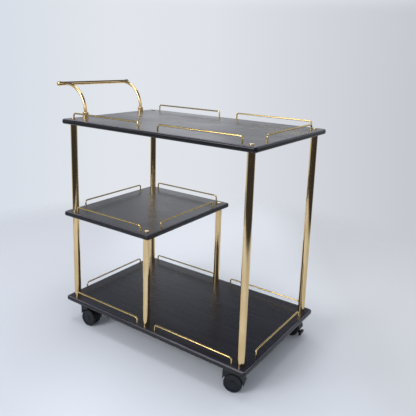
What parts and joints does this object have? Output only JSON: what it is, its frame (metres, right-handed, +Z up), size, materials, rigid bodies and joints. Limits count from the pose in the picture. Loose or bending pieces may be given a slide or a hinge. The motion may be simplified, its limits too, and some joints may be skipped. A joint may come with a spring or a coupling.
{
  "type": "tea trolley",
  "caption": "Tea trolley with two full shelves and a half shelf in black wood, brass tube posts, wire gallery rails, a push handle and swivel casters.",
  "frame": {"origin": "on the floor, under the middle of the overall length, handle included, and of the width", "axes": "+X along the shelves away from the handle, +Y to the back, +Z up"},
  "size_m": [0.8088, 0.444, 0.8227],
  "materials": {
    "black_wood": "black lacquer over fine straight grain, satin",
    "brass": "polished and lacquered",
    "steel": "zinc plated",
    "caster_plastic": "moulded nylon, satin black",
    "wheel_plastic": "moulded nylon, satin black",
    "bush_plastic": "moulded, natural"
  },
  "bodies": {
    "trolley": {"top_shelf": "black_wood", "middle_shelf": "black_wood", "bottom_shelf": "black_wood", "front_left_lower_post": "brass", "front_left_upper_post": "brass", "back_left_lower_post": "brass", "back_left_upper_post": "brass", "front_middle_post": "brass", "back_middle_post": "brass", "front_right_post": "brass", "back_right_post": "brass", "tie_rods": "steel", "cap_nuts": "brass", "clamp_nuts": "steel", "clamp_washers": "steel", "centring_bushes": "bush_plastic", "top_rail_front_left": "brass", "top_rail_front_right": "brass", "top_rail_back_left": "brass", "top_rail_back_right": "brass", "top_rail_right": "brass", "bottom_rail_front_left": "brass", "bottom_rail_front_right": "brass", "bottom_rail_back_left": "brass", "bottom_rail_back_right": "brass", "bottom_rail_right": "brass", "bottom_rail_left": "brass", "middle_rail_front": "brass", "middle_rail_back": "brass", "middle_rail_left": "brass", "middle_rail_right": "brass", "handle_bar": "brass", "handle_front_arm": "brass", "handle_back_arm": "brass", "handle_front_collar": "brass", "handle_back_collar": "brass", "handle_front_cap": "brass", "handle_back_cap": "brass", "caster_screws": "steel", "front_left_caster_plate": "steel", "back_left_caster_plate": "steel", "front_right_caster_plate": "steel", "back_right_caster_plate": "steel"},
    "front_left_caster": {"front_left_caster_hood": "caster_plastic", "front_left_caster_axle": "steel"},
    "front_left_inner_wheel": {"front_left_caster_inner_wheel": "wheel_plastic"},
    "front_left_outer_wheel": {"front_left_caster_outer_wheel": "wheel_plastic"},
    "back_left_caster": {"back_left_caster_hood": "caster_plastic", "back_left_caster_axle": "steel"},
    "back_left_inner_wheel": {"back_left_caster_inner_wheel": "wheel_plastic"},
    "back_left_outer_wheel": {"back_left_caster_outer_wheel": "wheel_plastic"},
    "front_right_caster": {"front_right_caster_hood": "caster_plastic", "front_right_caster_axle": "steel"},
    "front_right_inner_wheel": {"front_right_caster_inner_wheel": "wheel_plastic"},
    "front_right_outer_wheel": {"front_right_caster_outer_wheel": "wheel_plastic"},
    "back_right_caster": {"back_right_caster_hood": "caster_plastic", "back_right_caster_axle": "steel"},
    "back_right_inner_wheel": {"back_right_caster_inner_wheel": "wheel_plastic"},
    "back_right_outer_wheel": {"back_right_caster_outer_wheel": "wheel_plastic"}
  },
  "joints": [
    {"name": "front_left_swivel", "type": "hinge", "parent": "trolley", "child": "front_left_caster", "pos_m": [-0.24863, -0.188, 0.0755], "axis": [0, 0, 1], "continuous": true},
    {"name": "front_left_inner_wheel_roll", "type": "hinge", "parent": "front_left_caster", "child": "front_left_inner_wheel", "pos_m": [-0.23115, -0.18708, 0.0275], "axis": [-0.0523, 0.9986, 0], "continuous": true},
    {"name": "front_left_outer_wheel_roll", "type": "hinge", "parent": "front_left_caster", "child": "front_left_outer_wheel", "pos_m": [-0.23115, -0.18708, 0.0275], "axis": [-0.0523, 0.9986, 0], "continuous": true},
    {"name": "back_left_swivel", "type": "hinge", "parent": "trolley", "child": "back_left_caster", "pos_m": [-0.24863, 0.188, 0.0755], "axis": [0, 0, 1], "continuous": true},
    {"name": "back_left_inner_wheel_roll", "type": "hinge", "parent": "back_left_caster", "child": "back_left_inner_wheel", "pos_m": [-0.2313, 0.19044, 0.0275], "axis": [-0.1392, 0.9903, 0], "continuous": true},
    {"name": "back_left_outer_wheel_roll", "type": "hinge", "parent": "back_left_caster", "child": "back_left_outer_wheel", "pos_m": [-0.2313, 0.19044, 0.0275], "axis": [-0.1392, 0.9903, 0], "continuous": true},
    {"name": "front_right_swivel", "type": "hinge", "parent": "trolley", "child": "front_right_caster", "pos_m": [0.33237, -0.188, 0.0755], "axis": [0, 0, 1], "continuous": true},
    {"name": "front_right_inner_wheel_roll", "type": "hinge", "parent": "front_right_caster", "child": "front_right_inner_wheel", "pos_m": [0.34902, -0.18259, 0.0275], "axis": [-0.309, 0.9511, 0], "continuous": true},
    {"name": "front_right_outer_wheel_roll", "type": "hinge", "parent": "front_right_caster", "child": "front_right_outer_wheel", "pos_m": [0.34902, -0.18259, 0.0275], "axis": [-0.309, 0.9511, 0], "continuous": true},
    {"name": "back_right_swivel", "type": "hinge", "parent": "trolley", "child": "back_right_caster", "pos_m": [0.33237, 0.188, 0.0755], "axis": [0, 0, 1], "continuous": true},
    {"name": "back_right_inner_wheel_roll", "type": "hinge", "parent": "back_right_caster", "child": "back_right_inner_wheel", "pos_m": [0.34981, 0.18952, 0.0275], "axis": [-0.0872, 0.9962, 0], "continuous": true},
    {"name": "back_right_outer_wheel_roll", "type": "hinge", "parent": "back_right_caster", "child": "back_right_outer_wheel", "pos_m": [0.34981, 0.18952, 0.0275], "axis": [-0.0872, 0.9962, 0], "continuous": true}
  ]
}
